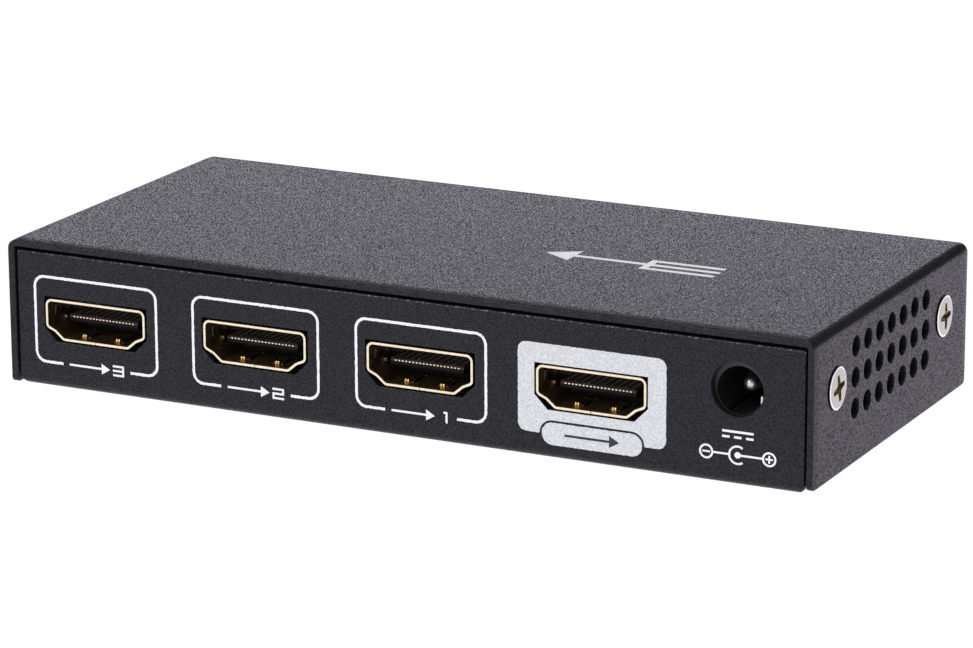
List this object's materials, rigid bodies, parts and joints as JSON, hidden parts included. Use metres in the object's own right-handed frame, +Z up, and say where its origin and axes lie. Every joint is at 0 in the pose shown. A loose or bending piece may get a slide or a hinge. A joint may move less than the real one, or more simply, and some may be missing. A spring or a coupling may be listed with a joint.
{
  "type": "video switch box",
  "caption": "Flat folded-steel box that switches several video inputs to one output, with sockets and a power jack on one panel and a select button and lamps on the other.",
  "frame": {"origin": "middle of the overall width and depth, on the surface that the feet stand on", "axes": "+X along the width, to the right as seen from the connector panel; -Y out of the connector panel and +Y out of the control panel; +Z up"},
  "size_m": [0.1156, 0.0538, 0.0212],
  "materials": {
    "coated_steel": "fine textured powder coat",
    "nickel": "nickel plated",
    "rubber": "matt",
    "fibre_board": "lacquered",
    "gilt_steel": "gold flashed",
    "socket_plastic": "moulded",
    "gilt_contact": "gold flashed",
    "black_plastic": "moulded",
    "tinned_brass": "tin plated",
    "green_lens": "tinted and clear",
    "red_lens": "tinted and clear",
    "infrared_filter": "dark and polished",
    "chip_resin": "moulded",
    "can": "drawn",
    "ceramic": "sintered"
  },
  "bodies": {
    "case": {"top_cover": "coated_steel", "base_chassis": "coated_steel", "cover_screws": "nickel", "board_standoffs": "nickel", "board_screws": "nickel", "switch_frame": "nickel", "foot_rear_left": "rubber", "foot_rear_right": "rubber", "foot_front_left": "rubber", "foot_front_right": "rubber", "circuit_board": "fibre_board", "input_3_shell": "gilt_steel", "input_2_shell": "gilt_steel", "input_1_shell": "gilt_steel", "output_shell": "gilt_steel", "input_3_insulator": "socket_plastic", "input_2_insulator": "socket_plastic", "input_1_insulator": "socket_plastic", "output_insulator": "socket_plastic", "input_3_contacts": "gilt_contact", "input_2_contacts": "gilt_contact", "input_1_contacts": "gilt_contact", "output_contacts": "gilt_contact", "power_jack_housing": "black_plastic", "switch_base": "black_plastic", "power_jack_pin": "tinned_brass", "power_jack_spring": "tinned_brass", "power_jack_break_contact": "tinned_brass", "switch_dome": "tinned_brass", "switch_terminals": "tinned_brass", "lamp_leads": "tinned_brass", "infrared_leads": "tinned_brass", "switch_chip_leads": "tinned_brass", "control_chip_leads": "tinned_brass", "regulator_leads": "tinned_brass", "lamp_input_1": "green_lens", "lamp_input_2": "green_lens", "lamp_input_3": "green_lens", "lamp_power": "red_lens", "infrared_window": "infrared_filter", "infrared_receiver": "chip_resin", "switch_chip": "chip_resin", "control_chip": "chip_resin", "regulator": "chip_resin", "protection_chips": "chip_resin", "crystal": "can", "power_capacitor_1": "can", "power_capacitor_2": "can", "chip_capacitors": "ceramic", "chip_resistors": "ceramic"},
    "button": {"select_button": "black_plastic", "switch_plunger": "black_plastic"}
  },
  "joints": [
    {"name": "select_button_press", "type": "slide", "parent": "case", "child": "button", "axis": [0, -1, 0], "range_m": [0, 0.0003], "stiffness_N_per_m": 1000, "deforming": ["switch_dome"]}
  ]
}
